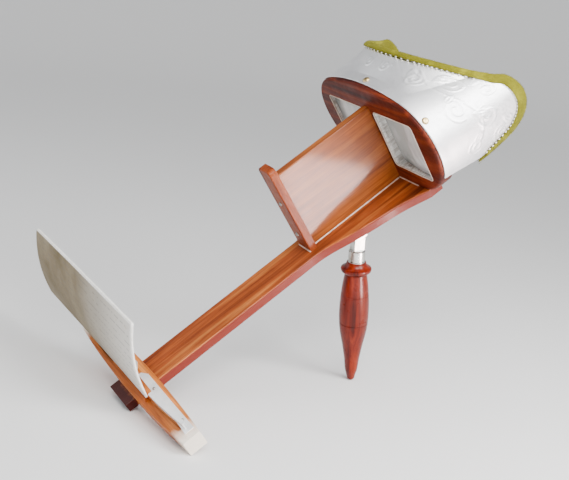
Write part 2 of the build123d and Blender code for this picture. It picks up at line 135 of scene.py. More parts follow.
def new_material(name, **shader):
    """Material with a Principled shader whose constants are set on its own sockets."""
    material = bpy.data.materials.new(name)
    material.use_nodes = True
    principled = material.node_tree.nodes["Principled BSDF"]
    for socket, value in shader.items():
        principled.inputs[socket.replace("_", " ")].default_value = value
    return material, material.node_tree, principled


def viewer_position(tree, stretch=(1, 1, 1), offset=(0, 0, 0), tilt=0.0):
    """Socket with the position in viewer axes, mm, tilted about X by degrees, each axis scaled by stretch."""
    coordinates = add(tree, "TexCoord")
    turned = add(
        tree, "Mapping",
        {
            "Vector": coordinates.outputs["Object"],
            "Location": to_viewer.to_translation(),
            "Rotation": to_viewer.to_3x3().normalized().to_euler(),
            "Scale": (1000, 1000, 1000),
        },
    )
    if tilt:
        turned = add(tree, "Mapping", {"Vector": turned.outputs[0], "Rotation": (math.radians(tilt), 0, 0)})
    scaled = add(tree, "Mapping", {"Vector": turned.outputs[0], "Scale": stretch, "Location": offset})
    return scaled.outputs[0]


def ramp(tree, factor, *stops):
    """Colour ramp through (position, colour) stops."""
    node = add(tree, "ValToRGB", {"Fac": factor})
    elements = node.color_ramp.elements
    while len(elements) < len(stops):
        elements.new(0.5)
    for element, (position, colour) in zip(elements, stops):
        element.position = position
        element.color = (*colour, 1)
    return node.outputs["Color"]


def grey(value):
    """Grey colour of a value."""
    return (value, value, value)


def mix(tree, blend, factor, first, second):
    """Colour mix of two sockets or colours."""
    node = add(tree, "Mix", data_type="RGBA", blend_type=blend)
    for socket, value in ((node.inputs[0], factor), (node.inputs[6], first), (node.inputs[7], second)):
        if isinstance(value, bpy.types.NodeSocket):
            tree.links.new(value, socket)
        else:
            socket.default_value = (*value, 1) if isinstance(value, tuple) else value
    return node.outputs[2]


def paint(tree, principled, colour):
    """Colour socket into the shader's base colour."""
    tree.links.new(colour, principled.inputs["Base Color"])


def noise_at(tree, vector, scale, detail=3.0, roughness=0.5, distortion=0.0):
    """Value of a noise texture at a position."""
    inputs = {"Vector": vector, "Scale": scale, "Detail": detail, "Roughness": roughness}
    return add(tree, "TexNoise", {**inputs, "Distortion": distortion}).outputs[0]


def bump(tree, principled, height, strength, distance):
    """Bump from a height socket into the shader's normal; distance in metres."""
    node = add(tree, "Bump", {"Height": height, "Strength": strength, "Distance": distance})
    tree.links.new(node.outputs[0], principled.inputs["Normal"])


def wood(name, dark, middle, light, grain, gloss, coat, tired=0.35, tilt=0.0):
    """Varnished wood with its grain along one of the viewer's axes, tilted about X by degrees."""
    material, tree, principled = new_material(
        name, Coat_Weight=coat, Coat_Roughness=0.12, Specular_IOR_Level=0.14
    )
    along = tuple(0.05 if axis == grain else 1 for axis in "xyz")
    fibre_along = tuple(0.02 if axis == grain else 1 for axis in "xyz")
    plain = viewer_position(tree)
    figure_at = viewer_position(tree, along, (3, 7, 1), tilt)
    fibre_at = viewer_position(tree, fibre_along, tilt=tilt)
    figure = noise_at(tree, figure_at, 0.16, 5, 0.6, 0.8)
    fibre = noise_at(tree, fibre_at, 1.7, 4, 0.7)
    pore = noise_at(tree, viewer_position(tree, along, tilt=tilt), 2.6, 2, 0.5)
    blotch = noise_at(tree, plain, 0.035, 3, 0.6)
    colour = ramp(tree, figure, (0.32, dark), (0.5, middle), (0.68, light))
    fibres = ramp(tree, fibre, (0.3, grey(0.55)), (0.6, grey(1.05)))
    colour = mix(tree, "MULTIPLY", 0.75, colour, fibres)
    pores = ramp(tree, pore, (0.28, grey(0.45)), (0.36, grey(1)))
    colour = mix(tree, "MULTIPLY", 0.6, colour, pores)
    blotches = ramp(tree, blotch, (0.35, grey(0.7)), (0.6, grey(1.1)))
    colour = mix(tree, "MULTIPLY", 0.5, colour, blotches)
    scuff = ramp(tree, noise_at(tree, plain, 0.22, 8, 0.75), (0.64, grey(0)), (0.72, grey(1)))
    colour = mix(tree, "MIX", mix(tree, "MULTIPLY", 1.0, scuff, grey(tired)), colour, light)
    paint(tree, principled, colour)
    roughness = ramp(tree, noise_at(tree, plain, 0.12, 6, 0.7), (0.3, grey(gloss)), (0.7, grey(gloss + 0.22)))
    tree.links.new(roughness, principled.inputs["Roughness"])
    height = mix(tree, "ADD", 0.5, fibres, pores)
    bump(tree, principled, height, 0.35, 0.00015)
    return material


def metal(name, colour, stain, rough, scratch=0.25, patchy=0.06, metallic=1.0):
    """Metal with uneven polish, small scratches and faint stains."""
    material, tree, principled = new_material(name, Metallic=metallic)
    plain = viewer_position(tree)
    patches = noise_at(tree, plain, patchy, 5, 0.65)
    tone = ramp(tree, patches, (0.35, stain), (0.62, colour))
    paint(tree, principled, tone)
    polish = noise_at(tree, viewer_position(tree, (0.3, 1, 1)), 0.9, 6, 0.75)
    roughness = ramp(tree, polish, (0.3, grey(rough)), (0.75, grey(rough + 0.2)))
    tree.links.new(roughness, principled.inputs["Roughness"])
    scratches = noise_at(tree, viewer_position(tree, (0.15, 1.6, 1.6)), 2.5, 4, 0.8)
    bump(tree, principled, scratches, scratch, 0.0001)
    return material


def hood_metal():
    """Soft-polished aluminium sheet: fine stipple of the pressing, faint dents and a dull bloom."""
    material, tree, principled = new_material("hood_aluminium_sheet", Metallic=0.85)
    plain = viewer_position(tree)
    bloom = noise_at(tree, plain, 0.05, 5, 0.6)
    tone = ramp(tree, bloom, (0.3, (0.84, 0.84, 0.86)), (0.65, (0.95, 0.95, 0.96)))
    paint(tree, principled, tone)
    polish = noise_at(tree, plain, 0.5, 6, 0.7)
    tree.links.new(ramp(tree, polish, (0.3, grey(0.36)), (0.7, grey(0.52))), principled.inputs["Roughness"])
    stipple = noise_at(tree, plain, 1.6, 2, 0.5)
    dents = noise_at(tree, plain, 0.07, 2, 0.5)
    height = mix(tree, "MIX", 0.8, stipple, dents)
    bump(tree, principled, height, 0.5, 0.0004)
    return material


def velvet(name, dark, light, sheen):
    """Cotton velvet: a deep matt pile that lightens where it lies over, rubbed paler in places."""
    material, tree, principled = new_material(
        name, Roughness=0.95, Sheen_Weight=0.3, Sheen_Roughness=0.4, Sheen_Tint=(*sheen, 1),
        Specular_IOR_Level=0.15,
    )
    plain = viewer_position(tree)
    nap = noise_at(tree, plain, 1.4, 4, 0.7)
    wear = noise_at(tree, plain, 0.09, 4, 0.65)
    colour = mix(tree, "MIX", nap, dark, light)
    rubbed = ramp(tree, wear, (0.5, grey(0.85)), (0.72, grey(1.5)))
    colour = mix(tree, "MULTIPLY", 1.0, colour, rubbed)
    paint(tree, principled, colour)
    bump(tree, principled, noise_at(tree, plain, 3.5, 3, 0.6), 0.8, 0.0004)
    return material


def card_paper():
    """Aged card: grey-beige, paler towards its right end as a painted highlight, with foxing and rows of
    faint dashes.
    """
    material, tree, principled = new_material("card_face", Roughness=0.78, Specular_IOR_Level=0.25)
    plain = viewer_position(tree)
    age = noise_at(tree, plain, 0.03, 5, 0.6)
    colour = ramp(tree, age, (0.3, (0.16, 0.12, 0.062)), (0.7, (0.32, 0.265, 0.18)))
    across = add(tree, "SeparateXYZ", {"Vector": viewer_position(tree, (1 / 180, 1, 1), (150 / 180, 0, 0))})
    # painted highlight: the card pales towards its right end, where it stands beside the lit end of the
    # carrier
    right_end_highlight = ramp(tree, across.outputs["X"], (0.45, grey(0)), (0.98, grey(0.85)))
    colour = mix(tree, "MIX", right_end_highlight, colour, (0.80, 0.78, 0.74))
    fox = ramp(tree, noise_at(tree, plain, 0.3, 5, 0.7), (0.62, grey(1)), (0.74, (0.78, 0.62, 0.42)))
    colour = mix(tree, "MULTIPLY", 0.7, colour, fox)
    rows = add(
        tree, "TexWave",
        {"Vector": viewer_position(tree, (0, 0, 1)), "Scale": 0.075, "Distortion": 0.0, "Detail": 0.0},
        wave_type="BANDS", bands_direction="Z", wave_profile="SIN",
    )
    row = ramp(tree, rows.outputs["Fac"], (0.90, grey(0)), (0.97, grey(1)))
    dashes = noise_at(tree, viewer_position(tree, (0.45, 0.05, 0.3)), 1.0, 2, 0.4)
    marks = mix(tree, "MULTIPLY", 1.0, row, ramp(tree, dashes, (0.46, grey(0)), (0.52, grey(1))))
    colour = mix(tree, "MIX", mix(tree, "MULTIPLY", 1.0, marks, grey(0.42)), colour, (0.16, 0.15, 0.14))
    paint(tree, principled, colour)
    fibres = noise_at(tree, plain, 2.2, 4, 0.7)
    bump(tree, principled, fibres, 0.25, 0.00015)
    return material


def plain_material(name, light, dark, scale, rough, depth=0.0002, **shader):
    """Matt surface that wanders between two colours, with a little relief."""
    material, tree, principled = new_material(name, Roughness=rough, **shader)
    plain = viewer_position(tree)
    drift = noise_at(tree, plain, scale, 5, 0.65)
    paint(tree, principled, ramp(tree, drift, (0.35, dark), (0.65, light)))
    bump(tree, principled, noise_at(tree, plain, scale * 12, 3, 0.6), 0.4, depth)
    return material


def lens_material():
    """Old lens glass with a faint green haze and slight smears."""
    material, tree, principled = new_material("lens_glass_clear", Transmission_Weight=0.45, IOR=1.5)
    haze = noise_at(tree, viewer_position(tree, (1, 1, 0.5), (5, 0, 9)), 0.05, 4, 0.55, 0.6)
    paint(tree, principled, ramp(tree, haze, (0.4, (0.55, 0.58, 0.56)), (0.6, (0.97, 0.98, 0.98))))
    smear = noise_at(tree, viewer_position(tree), 0.15, 5, 0.7)
    tree.links.new(ramp(tree, smear, (0.4, grey(0.01)), (0.75, grey(0.07))), principled.inputs["Roughness"])
    return material


def pale_window_walls(material):
    """Pale, greyed wood on the walls of the lens windows."""
    tree = material.node_tree
    principled = tree.nodes["Principled BSDF"]
    place = add(tree, "SeparateXYZ", {"Vector": viewer_position(tree)})
    wall = 3
    inside = None
    # distances are taken without their sign, so both windows are covered at once
    for axis, low, high in (
        ("X", WINDOW_X[0] - wall, WINDOW_X[1] + wall),
        ("Y", 0.8, 9.6),
        ("Z", WINDOW_Z[0] - wall, WINDOW_Z[1] + wall),
    ):
        away = add(tree, "Math", {0: place.outputs[axis]}, operation="ABSOLUTE").outputs[0]
        limits = {0: away, 1: (low + high) / 2, 2: (high - low) / 2 + 0.2}
        within = add(tree, "Math", limits, operation="COMPARE").outputs[0]
        if inside:
            within = add(tree, "Math", {0: inside, 1: within}, operation="MULTIPLY").outputs[0]
        inside = within
    pale_wall_tone = ramp(tree, noise_at(tree, viewer_position(tree, (1, 0.2, 1)), 0.5, 5, 0.7),
                (0.35, (0.42, 0.38, 0.34)), (0.6, (0.84, 0.82, 0.79)))
    varnish = principled.inputs["Base Color"].links[0].from_socket
    paint(tree, principled, mix(tree, "MIX", inside, varnish, pale_wall_tone))


def paint_light_along(material, axis, first, last, colour, ragged=4.0, mirrored=False):
    """Painted light and shade: a colour that takes over from first to last along one of the viewer's axes,
    with a ragged start.
    """
    tree = material.node_tree
    principled = tree.nodes["Principled BSDF"]
    plain = viewer_position(tree)
    place = add(tree, "SeparateXYZ", {"Vector": plain}).outputs[axis]
    if mirrored:
        place = add(tree, "Math", {0: place}, operation="ABSOLUTE").outputs[0]
    wander = noise_at(tree, plain, 0.25, 5, 0.7)
    drift = add(tree, "Math", {0: wander, 1: 0.5}, operation="SUBTRACT").outputs[0]
    moved = add(tree, "Math", {0: drift, 1: ragged, 2: place}, operation="MULTIPLY_ADD").outputs[0]
    share = add(tree, "MapRange", {"Value": moved, "From Min": first, "From Max": last}).outputs[0]
    before = principled.inputs["Base Color"].links[0].from_socket
    paint(tree, principled, mix(tree, "MIX", share, before, colour))


varnished_bar = wood(
    "bar_varnish", (0.09, 0.014, 0.003), (0.29, 0.056, 0.009), (0.50, 0.15, 0.03),
    grain="y", gloss=0.28, coat=0.2,
)
# painted shade: the lens board's wood is a much darker brown than the other woods, standing for the shade on
# its face
shaded_board_wood = wood(
    "board_varnish_shaded", (0.03, 0.002, 0.0006), (0.10, 0.010, 0.002), (0.22, 0.032, 0.006),
    grain="x", gloss=0.42, coat=0.03,
)
# the walls of both lens windows are turned a pale grey
pale_window_walls(shaded_board_wood)
septum_wood = wood(
    "septum_varnish", (0.13, 0.026, 0.004), (0.25, 0.058, 0.009), (0.38, 0.11, 0.02),
    grain="y", gloss=0.3, coat=0.35, tired=0.3,
)
slat_wood = wood(
    "slat_varnish", (0.09, 0.010, 0.002), (0.24, 0.040, 0.008), (0.38, 0.09, 0.018),
    grain="z", gloss=0.36, coat=0.08,
)
grip_wood = wood(
    "grip_polish", (0.045, 0.002, 0.0005), (0.15, 0.008, 0.001), (0.26, 0.022, 0.003),
    grain="z", gloss=0.22, coat=0.3, tired=0.03, tilt=HANDLE_SLANT,
)
carrier_wood = wood(
    "carrier_varnish", (0.26, 0.045, 0.005), (0.55, 0.15, 0.022), (0.80, 0.30, 0.07),
    grain="x", gloss=0.34, coat=0.12,
)
# painted reflection: the bar's sides below its top are tinted a pinker red, standing for the sheen of light
# on their varnish
paint_light_along(varnished_bar, "Z", -0.4, -0.9, (0.19, 0.022, 0.012), ragged=0.6)
# painted shadow: the bar beyond the carrier's back edge darkens to near black, the shade cast by card and
# carrier
paint_light_along(varnished_bar, "Y", -222, -226, (0.04, 0.003, 0.001))
# painted highlight: both ends of the crosspiece fade to near white, as its brightly lit near end looks
paint_light_along(carrier_wood, "X", 66, 80, (0.95, 0.84, 0.72), ragged=9, mirrored=True)
nickel = metal("nickel_plate", (0.82, 0.81, 0.79), (0.40, 0.37, 0.33), 0.12, 0.3, 0.12)
steel = metal("screw_steel", (0.42, 0.40, 0.38), (0.20, 0.17, 0.14), 0.35)
tin = metal("spring_tin_plate", (0.96, 0.96, 0.97), (0.80, 0.81, 0.84), 0.34, metallic=0.45)
brass = metal("nail_brass", (0.80, 0.60, 0.28), (0.48, 0.33, 0.15), 0.25)
aluminium = hood_metal()
olive_velvet = velvet("velvet_olive", (0.07, 0.066, 0.003), (0.27, 0.25, 0.016), (0.60, 0.60, 0.12))
paper = card_paper()
card_edge = plain_material("card_edge_white", (0.97, 0.96, 0.94), (0.82, 0.79, 0.73), 0.4, 0.8)
thread = plain_material("thread_cotton", (0.93, 0.91, 0.84), (0.75, 0.72, 0.64), 1.5, 0.85)
glue = plain_material("glue_line", (0.62, 0.46, 0.38), (0.40, 0.24, 0.16), 0.2, 0.22, Coat_Weight=0.6)
pale_bead = plain_material("pale_bead", (0.80, 0.72, 0.62), (0.52, 0.36, 0.26), 0.12, 0.45)
glass = lens_material()

node_materials = {
    "bar": varnished_bar,
    "lens_board": shaded_board_wood,
    "septum": septum_wood,
    "septum_slat": slat_wood,
    "carrier_crosspiece": carrier_wood,
    "handle_grip": grip_wood,
    "handle_tongue": nickel,
    "handle_ferrule": nickel,
    "handle_bracket": nickel,
    "hinge_pin": nickel,
    "bracket_screws": nickel,
    "clip_left": tin,
    "clip_right": tin,
    "carrier_keeper": tin,
    "carrier_spring": tin,
    "hood": aluminium,
    "hood_nails": brass,
    "lens_left": glass,
    "lens_right": glass,
    "stereo_card": paper,
}
for name, node in nodes.items():
    node.data.materials.clear()
    node.data.materials.append(node_materials.get(name, steel))


# ---- mesh pieces ----
def new_piece(name, points, faces, body, materials, face_material=None, smooth=True, stands_for=()):
    """Piece from points in viewer axes, riding on a body and replacing the CAD nodes it stands for."""
    mesh = bpy.data.meshes.new(name)
    mesh.from_pydata([viewer_matrix @ Vector(point) for point in points], [], faces)
    mesh.update()
    piece = new_object(name, mesh)
    for material in materials:
        mesh.materials.append(material)
    if face_material:
        mesh.polygons.foreach_set("material_index", face_material)
    mesh.polygons.foreach_set("use_smooth", [smooth] * len(mesh.polygons))
    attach(piece, body)
    if stands_for:
        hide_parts(*stands_for)
    return piece


def grid_faces(rows, columns, start=0, close_rows=False, close_columns=False, flip=False):
    """Quads of a grid of points numbered row by row."""
    faces = []
    for row in range(rows if close_rows else rows - 1):
        for column in range(columns if close_columns else columns - 1):
            next_row = (row + 1) % rows
            next_column = (column + 1) % columns
            quad = [
                start + row * columns + column,
                start + row * columns + next_column,
                start + next_row * columns + next_column,
                start + next_row * columns + column,
            ]
            faces.append(quad[::-1] if flip else quad)
    return faces


# ---- the hood's surface ----
def section_arcs(section):
    """Right half of a hood section from its top: (centre x, centre z, radius, first angle, last angle)."""
    corner_x = section["half_width"] - section["corner"]
    rise = section["rise"]
    crown = (corner_x**2 + rise**2 - section["corner"] ** 2) / (2 * (rise - section["corner"]))
    turn = math.atan2(corner_x, crown - rise)
    top = math.pi / 2
    return (
        (0.0, section["centre"] + rise - crown, crown, top, top - turn),
        (corner_x, section["centre"], section["corner"], top - turn, 0.0),
        (section["half_width"] - section["drop"], section["centre"], section["drop"], 0.0, -top),
    )


BOARD_ARCS = section_arcs(BOARD)
EYE_ARCS = section_arcs(EYES)


def hood_point(column, y, grow):
    """Point of the hood's surface at y, moved outwards by grow; column is (side, arc, fraction)."""
    side, arc, fraction = column
    ends = []
    for centre_x, centre_z, radius, first, last in (BOARD_ARCS[arc], EYE_ARCS[arc]):
        angle = first + (last - first) * fraction
        reach = radius + grow
        ends.append((centre_x + reach * math.cos(angle), centre_z + reach * math.sin(angle)))
    blend = max(y - BOARD_BACK, 0) / (EYE_PLANE - BOARD_BACK)
    x = ends[0][0] + (ends[1][0] - ends[0][0]) * blend
    z = ends[0][1] + (ends[1][1] - ends[0][1]) * blend
    return Vector((side * x, y, z))


def arc_centre():
    """Centre of the temple's arc in the side view, and the heights where it meets the straight edges."""
    brow = Vector((-1, -BROW_SLOPE)).normalized()
    cheek = Vector((-1, -CHEEK_SLOPE)).normalized()
    bisector = (brow + cheek).normalized()
    half = brow.angle(cheek) / 2
    corner = Vector(TEMPLE)
    centre = corner + bisector * (TEMPLE_RADIUS / math.sin(half))
    reach = TEMPLE_RADIUS / math.tan(half)
    return centre, corner.y + brow.y * reach, corner.y + cheek.y * reach


TEMPLE_CENTRE, BROW_HEIGHT, CHEEK_HEIGHT = arc_centre()


def brow_share(z):
    """0 below the brow, 1 over it, where the binding is narrower."""
    return min(1, max(0, (z - BROW_FROM) / (BROW_FULL - BROW_FROM)))


def eye_edge(z):
    """How far back the hood's eye edge is at a height."""
    if z >= BROW_HEIGHT:
        return TEMPLE[0] + (z - TEMPLE[1]) / BROW_SLOPE - BROW_SET_BACK * brow_share(z)
    if z <= CHEEK_HEIGHT:
        return LOWER_CORNER[0] + (z - LOWER_CORNER[1]) / CHEEK_SLOPE
    return TEMPLE_CENTRE.x + math.sqrt(TEMPLE_RADIUS**2 - (z - TEMPLE_CENTRE.y) ** 2)


def jaw_edge(y):
    """Height of the hood's lower edge at y."""
    return LOWER_CORNER[1] + (LOWER_CORNER[0] - y) * -JAW_SLOPE


def bisect(test, low, high):
    """Where test changes from true at low to false."""
    for _ in range(40):
        middle = (low + high) / 2
        if test(middle):
            low = middle
        else:
            high = middle
    return low


def column_reach(column):
    """First and last y of the hood's sheet on a column, or None below its lower corner."""
    if hood_point(column, HOOD_FRONT, 0).z >= jaw_edge(HOOD_FRONT):
        first = HOOD_FRONT
    else:
        first = bisect(lambda y: hood_point(column, y, 0).z < jaw_edge(y), HOOD_FRONT, EYE_PLANE)
        if first > LOWER_CORNER[0]:
            return None
    last = bisect(lambda y: y < eye_edge(hood_point(column, y, 0).z), HOOD_FRONT, EYE_PLANE)
    return (first, last) if last > first else None


def half_columns(steps):
    """Columns from the top of the hood to its lower corner, on the right half: (arc, fraction)."""
    columns = []
    for arc, count in enumerate(steps):
        columns += [(arc, step / count) for step in range(count)]
    return [(arc, fraction) for arc, fraction in columns if column_reach((1, arc, fraction))]


right = half_columns((60, 90, 120))
hood_columns = [(-1, *column) for column in reversed(right[1:])] + [(1, *column) for column in right]


# ---- scrollwork pressed into the hood ----
def spiral(centre, radius, turns, start, hand, squeeze=1.0):
    """Points of a spiral that winds in to a small eye."""
    points = []
    for step in range(int(60 * turns)):
        t = step / (60 * turns)
        angle = start + hand * t * turns * 2 * math.pi
        reach = radius * (1 - 0.82 * t)
        points.append((centre[0] + reach * math.cos(angle), centre[1] + squeeze * reach * math.sin(angle)))
    return points


def wave_line(x_from, x_to, middle, height, cycles, lean=0.0):
    """Points of a waving stem."""
    points = []
    for step in range(240):
        t = step / 239
        x = x_from + (x_to - x_from) * t
        points.append((x, middle + lean * t + height * math.sin(2 * math.pi * cycles * t)))
    return points


def leaf(base, angle, length, width):
    """Points round and down the middle of a leaf."""
    points = []
    along = (math.cos(angle), math.sin(angle))
    for step in range(30):
        t = step / 29
        half = width * math.sin(math.pi * t) ** 0.8
        for side in (-1, 0, 1):
            points.append(
                (
                    base[0] + along[0] * length * t - along[1] * half * side,
                    base[1] + along[1] * length * t + along[0] * half * side,
                )
            )
    return points


def scrollwork():
    """Nearest-point tree of the pressed lines, drawn on the unrolled right half of the hood."""
    lines = []
    lines += wave_line(4, 96, 27, 5.5, 1.5, 6)
    for x, y, radius, start, hand in (
        (10, 20, 5.5, 0.4, 1), (24, 33, 6.5, 3.6, 1), (38, 22, 6.5, 0.6, -1), (53, 36, 7.5, 3.4, 1),
        (70, 26, 7.5, 0.2, -1), (84, 42, 8.5, 3.2, 1), (99, 28, 6.5, 0.6, -1), (66, 50, 5.5, 2.2, -1),
        (102, 48, 6.0, 2.6, 1),
    ):
        lines += spiral((x, y), radius, 1.6, start, hand)
    for x, y, angle, length, width in (
        (17, 26, 1.2, 8, 1.8), (31, 27, -1.0, 8, 1.8), (46, 29, 1.4, 9, 2.0), (61, 30, -1.1, 8, 2.0),
        (77, 34, 1.1, 10, 2.2), (91, 34, -0.8, 9, 2.0), (3, 30, 1.57, 9, 2.4), (58, 45, 2.4, 7, 1.6),
        (92, 52, 0.8, 8, 2.0), (110, 36, 0.5, 8, 2.0),
    ):
        lines += leaf((x, y), angle, length, width)
    tree = KDTree(len(lines))
    for index, (x, y) in enumerate(lines):
        tree.insert((x, y, 0), index)
    tree.balance()
    return tree


scroll_tree = scrollwork()


def pressing(around, y, margin):
    """Height of the pressed relief, mm; around is the way from the top, margin the way to the eye edge."""
    fade = min(1, max(0, (y - RELIEF_FRONT) / 2.5)) * min(1, max(0, (margin - RELIEF_TO_VELVET) / 2.5))
    fade *= min(1, (RELIEF_END - around) / 4)
    if fade <= 0:
        return 0.0
    distance = scroll_tree.find((around, y, 0))[2]
    ridge = max(0.0, 1 - (distance / RELIEF_HALF_WIDTH) ** 2)
    return (RELIEF_HEIGHT if around < 50 else SIDE_RELIEF_HEIGHT) * fade * ridge


def build_hood():
    """The hood's sheet: outer face with its relief, inner face, and the edges between them."""
    rows = 90
    unrolled_at = 30
    inner_share = 0.6
    outer, inner = [], []
    around = 0.0
    spread = {}
    previous = None
    for column in right:
        here = hood_point((1, *column), unrolled_at, SHEET_OUTSIDE)
        around += (here - previous).length if previous else 0.0
        previous = here
        spread[column] = around
    for column in hood_columns:
        first, last = column_reach(column)
        for row in range(rows):
            y = first + (last - first) * row / (rows - 1)
            height = pressing(spread[column[1:]], y, last - y)
            outer.append(hood_point(column, y, SHEET_OUTSIDE + height))
            inner.append(hood_point(column, y, SHEET_INSIDE + height * inner_share))
    count = len(hood_columns)
    faces = grid_faces(count, rows)
    faces += grid_faces(count, rows, len(outer), flip=True)
    rim = (
        [(c * rows, (c + 1) * rows) for c in range(count - 1)]
        + [((count - 1) * rows + r, (count - 1) * rows + r + 1) for r in range(rows - 1)]
        + [((c + 1) * rows - 1 + rows, (c + 1) * rows - 1) for c in range(count - 1)][::-1]
        + [(r + 1, r) for r in range(rows - 1)][::-1]
    )
    for first, second in rim:
        faces.append([first, second, second + len(outer), first + len(outer)])
    new_piece(
        "hood_sheet", outer + inner, faces, "frame", [aluminium], stands_for=("hood",)
    )


# ---- velvet binding ----
def edge_path(step):
    """Points and outward normals along the hood's eye edge, evenly spaced, from lower left to lower right."""
    fine = [(1, *column) for column in half_columns((120, 200, 500))]
    edge = [(column, column_reach(column)[1]) for column in fine]
    jaw = [(column, column_reach(column)[0]) for column in reversed(fine)]
    edge += [(column, y) for column, y in jaw if y > JAW_BINDING_START]
    raw = [(hood_point(column, y, 0.4), hood_point(column, y, 1.4)) for column, y in edge]
    mirror = Vector((-1, 1, 1))
    path = [(a * mirror, b * mirror) for a, b in reversed(raw[1:])] + raw
    spaced = [path[0]]
    travelled = 0.0
    for (a, _), (b, outside) in zip(path, path[1:]):
        travelled += (b - a).length
        if travelled >= step:
            spaced.append((b, outside))
            travelled = 0.0
    points = [a for a, _ in spaced]
    normals = [(b - a).normalized() for a, b in spaced]
    for _ in range(int(3 / step) + 1):
        points = [points[0]] + [
            (p + q * 2 + r) / 4 for p, q, r in zip(points, points[1:], points[2:])
        ] + [points[-1]]
    return points, normals


def edge_frames(step):
    """For each place along the eye edge: point, outward normal, direction off the edge, direction along."""
    points, normals = edge_path(step)
    frames = []
    for index, (point, normal) in enumerate(zip(points, normals)):
        ahead = points[min(index + 1, len(points) - 1)] - points[max(index - 1, 0)]
        ahead.normalize()
        normal = (normal - ahead * normal.dot(ahead)).normalized()
        off = ahead.cross(normal)
        if off.y < 0 and index not in (0, len(points) - 1):
            off = -off
        frames.append((point, normal, off, ahead))
    return frames


def binding_profile():
    """Closed outline of the folded velvet: (distance off the edge, height over the middle of the sheet)."""
    outside, inside, reach, fold = 1.75, 1.5, BINDING_REACH, 1.5
    profile = [
        (-reach, 0.5), (-reach - 0.25, 1.0), (-reach + 0.35, outside * 0.85), (-reach + 1.6, outside),
        (-2.5, outside * 1.08), (-0.5, outside),
    ]
    for step in range(1, 8):
        angle = math.pi / 2 - math.pi * step / 8
        middle = (outside - inside) / 2
        profile.append((fold * math.cos(angle) - 0.3, middle + (outside + inside) / 2 * math.sin(angle)))
    profile += [
        (-0.5, -inside), (-2.5, -inside * 1.08), (-reach + 1.4, -inside), (-reach + 0.2, -inside * 0.85),
        (-reach - 0.25, -0.95), (-reach, -0.5), (-3.0, -0.5), (-0.45, -0.45), (-0.45, 0.45), (-3.0, 0.5),
    ]
    return profile


def build_binding():
    """Velvet folded over the eye edge, slightly puckered."""
    frames = edge_frames(1.0)
    profile = binding_profile()
    points = []
    for index, (point, normal, off, _) in enumerate(frames):
        pucker = 1 + 0.07 * math.sin(index * 0.9) + 0.05 * noise.noise(point * 0.11)
        end = min(1.0, 0.55 + 0.15 * min(index, len(frames) - 1 - index))
        narrow = 1 - BROW_NARROWING * brow_share(point.z)
        for away, height in profile:
            away *= narrow if away < 0 else 1
            rough = 0.12 * noise.noise((point + off * away * 2 + normal * height * 2) * 0.8)
            swell = (pucker if abs(height) > 0.6 else 1) * end
            points.append(point + off * (away + rough) + normal * (height * swell + rough))
    faces = grid_faces(len(frames), len(profile), close_columns=True)
    faces.append(list(range(len(profile)))[::-1])
    faces.append([len(points) - len(profile) + i for i in range(len(profile))])
    binding = new_piece(
        "velvet_binding", points, faces, "frame", [olive_velvet], stands_for=("hood_binding",)
    )
    soften = binding.modifiers.new("soften", "SUBSURF")
    soften.levels = soften.render_levels = 1


def build_pile():
    """Short fibres standing on the velvet, each a thin blade."""
    chance = random.Random(7)
    frames = edge_frames(0.25)
    profile = binding_profile()[1:18]
    points, faces = [], []
    for point, normal, off, ahead in frames:
        for _ in range(FIBRES_PER_STEP):
            place = chance.random() * (len(profile) - 1)
            low = int(place)
            a, b = profile[low], profile[low + 1]
            away = a[0] + (b[0] - a[0]) * (place - low)
            away *= 1 - BROW_NARROWING * brow_share(point.z) if away < 0 else 1
            height = a[1] + (b[1] - a[1]) * (place - low)
            outward = (normal * (b[0] - a[0]) - off * (b[1] - a[1])).normalized()
            root = point + off * away + normal * height + ahead * chance.uniform(-0.15, 0.15)
            lean = Vector([chance.uniform(-0.5, 0.5) for _ in range(3)])
            tip = root + (outward + lean).normalized() * chance.uniform(0.35, 0.75)
            side = ahead * 0.07
            start = len(points)
            points += [root - side, root + side, tip]
            faces.append([start, start + 1, start + 2])
    new_piece("velvet_pile", points, faces, "frame", [olive_velvet], smooth=False)


def capsule(points, faces, centre, along, up, length, radius):
    """Adds one stitch: a small spindle lying along a direction."""
    across = along.cross(up).normalized()
    rings = 7
    sides = 8
    start = len(points)
    for ring in range(rings):
        t = ring / (rings - 1)
        reach = radius * math.sqrt(max(0.02, 1 - (2 * t - 1) ** 2))
        middle = centre + along * (t - 0.5) * length
        for side in range(sides):
            angle = 2 * math.pi * side / sides
            points.append(middle + (across * math.cos(angle) + up * math.sin(angle)) * reach)
    faces += grid_faces(rings, sides, start, close_columns=True)
    faces.append([start + i for i in range(sides)][::-1])
    faces.append([start + (rings - 1) * sides + i for i in range(sides)])


def build_stitches():
    """Thread stitches that hold the velvet, in a row along its front border, inside and out."""
    frames = edge_frames(0.5)
    points, faces = [], []
    for index in range(4, len(frames) - 4, 5):
        point, normal, off, ahead = frames[index]
        for height in (STITCH_LIFT, -STITCH_LIFT):
            centre = point - off * (STITCH_INSET - 2.6 * brow_share(point.z)) + normal * height
            capsule(points, faces, centre, ahead, normal, STITCH_LENGTH, STITCH_RADIUS)
    new_piece("binding_stitches", points, faces, "frame", [thread])


# ---- card ----
def circle_through(a, b, c):
    """Centre and radius of the circle through three points of a plane."""
    ax, ay, bx, by, cx, cy = *a, *b, *c
    d = 2 * (ax * (by - cy) + bx * (cy - ay) + cx * (ay - by))
    ux = ((ax**2 + ay**2) * (by - cy) + (bx**2 + by**2) * (cy - ay) + (cx**2 + cy**2) * (ay - by)) / d
    uy = ((ax**2 + ay**2) * (cx - bx) + (bx**2 + by**2) * (ax - cx) + (cx**2 + cy**2) * (bx - ax)) / d
    return Vector((ux, uy)), math.hypot(ax - ux, ay - uy)


